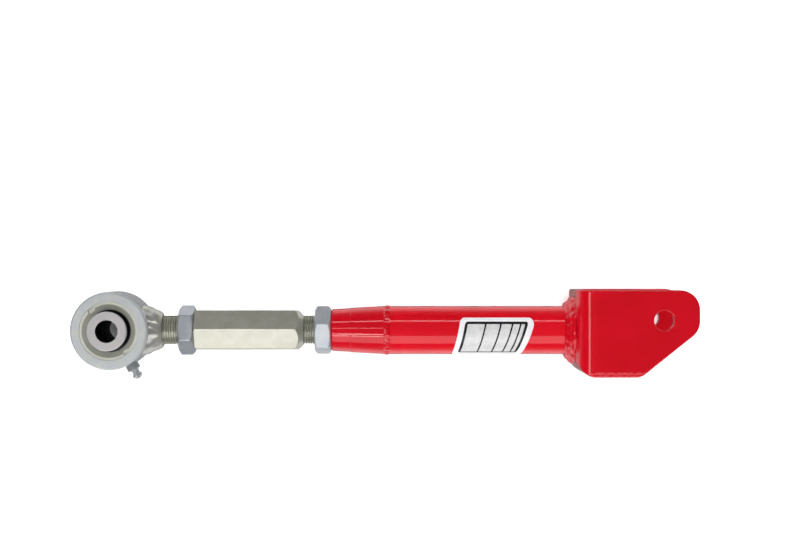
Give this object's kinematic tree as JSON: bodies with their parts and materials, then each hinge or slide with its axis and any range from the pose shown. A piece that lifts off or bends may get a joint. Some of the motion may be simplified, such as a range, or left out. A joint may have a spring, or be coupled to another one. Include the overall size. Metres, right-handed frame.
{
  "type": "adjustable suspension control arm",
  "caption": "Adjustable suspension control arm: a bolt-on fork at one end, a rebuildable swivel joint at the other, and a threaded hexagon sleeve that sets the length.",
  "frame": {"origin": "middle of the fork gap, on the fork's bolt-hole axis", "axes": "+X from the swivel joint towards the fork, along the arm; +Z along both bolt axes; +Y away from the fork's bottom flange"},
  "size_m": [0.4074, 0.0593, 0.0642],
  "materials": {
    "red_powder_coat": "gloss red powder coat",
    "label_print": "printed vinyl with a clear top layer",
    "zinc_nut": "bright zinc plate, bluish",
    "zinc_sleeve": "machined hexagon bar, zinc plate, warm grey",
    "zinc_stud": "cut thread, zinc plate with an olive tint",
    "zinc_weld": "weld bead under zinc plate",
    "zinc_housing": "turned steel, zinc plate",
    "zinc_ring": "turned steel, zinc plate with a pale gold tint",
    "zinc_spacer": "turned steel, zinc plate",
    "ball_steel": "polished steel",
    "race_plastic": "black bearing plastic",
    "fitting_steel": "zinc-plated steel",
    "spring_steel": "spring wire"
  },
  "bodies": {
    "arm": {"fork_bracket": "red_powder_coat", "fork_corner_welds": "red_powder_coat", "fork_tube_weld": "red_powder_coat", "arm_tube": "red_powder_coat", "adapter_weld": "red_powder_coat", "tube_adapter": "red_powder_coat", "label": "label_print"},
    "tube_jam_nut": {"tube_jam_nut": "zinc_nut"},
    "sleeve_jam_nut": {"sleeve_jam_nut": "zinc_nut"},
    "sleeve": {"adjuster_sleeve": "zinc_sleeve"},
    "rod_end": {"threaded_stud": "zinc_stud", "stud_weld": "zinc_weld", "joint_housing": "zinc_housing", "retaining_ring": "zinc_ring", "grease_fitting": "fitting_steel", "grease_check_ball": "ball_steel", "grease_spring": "spring_steel"},
    "races": {"upper_race": "race_plastic", "lower_race": "race_plastic"},
    "ball": {"swivel_ball": "ball_steel"},
    "spacers": {"upper_spacer": "zinc_spacer", "lower_spacer": "zinc_spacer"}
  },
  "joints": [
    {"name": "tube_jam_nut_turn", "type": "hinge", "parent": "arm", "child": "tube_jam_nut", "pos_m": [-0.22, -0.0072, 0], "axis": [-1, 0, 0], "range_deg": [0, 60]},
    {"name": "sleeve_travel", "type": "slide", "parent": "arm", "child": "sleeve_jam_nut", "axis": [-1, 0, 0], "range_m": [-0.00636, 0.01271]},
    {"name": "sleeve_turn", "type": "hinge", "parent": "sleeve_jam_nut", "child": "sleeve", "pos_m": [-0.22, -0.0072, 0], "axis": [-1, 0, 0], "range_deg": [-1444, 2884]},
    {"name": "rod_end_travel", "type": "slide", "parent": "arm", "child": "rod_end", "axis": [-1, 0, 0], "range_m": [-0.0127, 0.0254]},
    {"name": "race_turn", "type": "hinge", "parent": "rod_end", "child": "races", "pos_m": [-0.359, -0.0072, 0], "axis": [0, 0, 1], "continuous": true},
    {"name": "ball_tilt", "type": "hinge", "parent": "races", "child": "ball", "pos_m": [-0.359, -0.0072, 0], "axis": [1, 0, 0], "range_deg": [-13, 13]},
    {"name": "ball_spin", "type": "hinge", "parent": "ball", "child": "spacers", "pos_m": [-0.359, -0.0072, 0], "axis": [0, 0, 1], "continuous": true}
  ],
  "couplings": [
    {"joint": "sleeve_travel", "follows": "rod_end_travel", "ratio": 0.5},
    {"joint": "sleeve_turn", "follows": "rod_end_travel", "rad_per_m": 1979}
  ]
}
